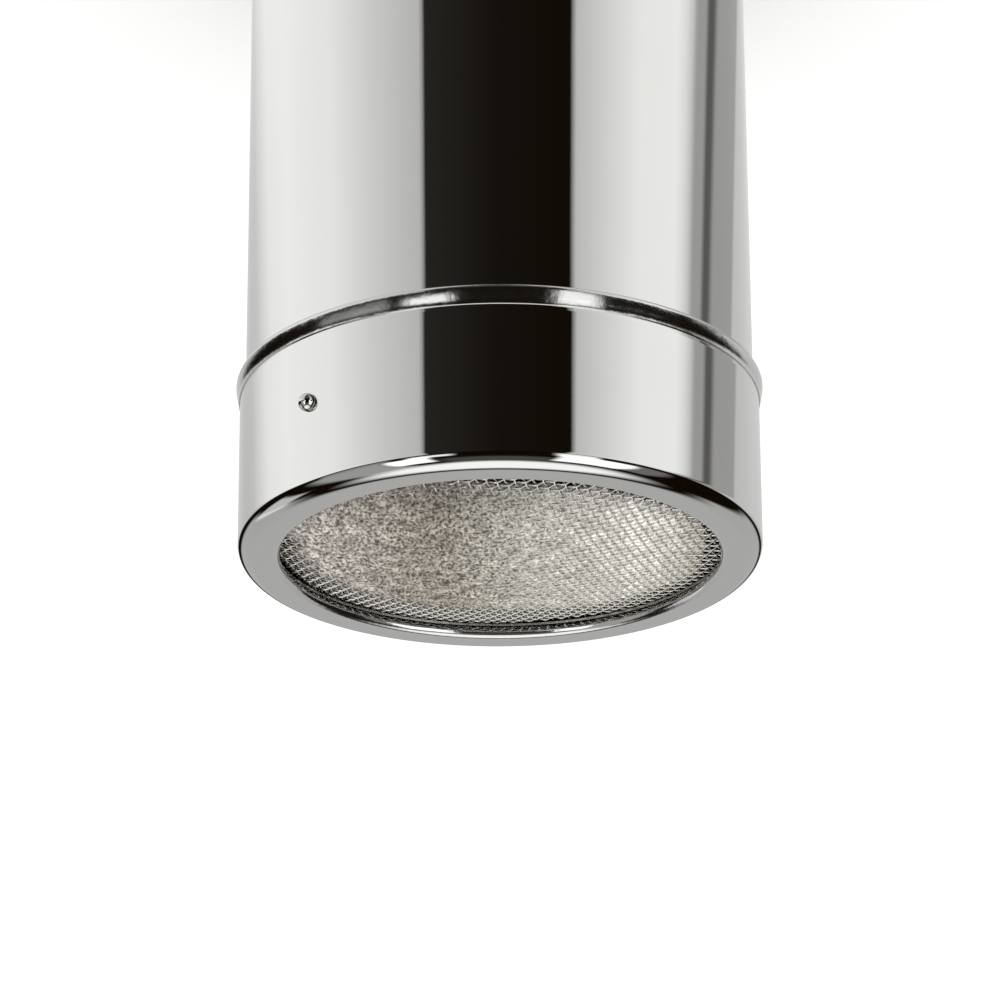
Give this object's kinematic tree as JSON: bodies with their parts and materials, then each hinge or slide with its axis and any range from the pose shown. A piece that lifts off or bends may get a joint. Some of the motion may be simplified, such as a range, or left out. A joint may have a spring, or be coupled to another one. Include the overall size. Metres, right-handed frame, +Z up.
{
  "type": "spice shaker",
  "caption": "Tabletop steel shaker for spice or sugar: a drawn canister under a bayonet lid that holds a domed sieve of woven wire.",
  "frame": {"origin": "centre of the standing ring, on the surface that the shaker stands on", "axes": "+Z up along the axis of the canister and the lid; -Y is the front, and the front lock pin lies between -Y and +X"},
  "size_m": [0.071, 0.071, 0.0959],
  "materials": {
    "canister_steel": "polished drawn stainless steel",
    "lid_steel": "polished drawn stainless steel, satin on the flat top",
    "pin_steel": "bright polished stainless steel",
    "wire_steel": "bright woven stainless wire, dusted with powder",
    "rim_steel": "satin rolled stainless strip"
  },
  "bodies": {
    "canister": {"canister_shell": "canister_steel"},
    "sieve": {"sieve_rim": "rim_steel", "mesh_warp_wires": "wire_steel", "mesh_weft_wires": "wire_steel"},
    "lid": {"lid_shell": "lid_steel", "lock_pin_front": "pin_steel", "lock_pin_back": "pin_steel"}
  },
  "joints": [
    {"name": "lid_lift", "type": "slide", "parent": "canister", "child": "sieve", "axis": [0, 0, 1], "range_m": [0, 0.04]},
    {"name": "lid_twist", "type": "hinge", "parent": "sieve", "child": "lid", "pos_m": [0, 0, 0.0821], "axis": [0, 0, 1], "range_deg": [-20, 0]}
  ]
}
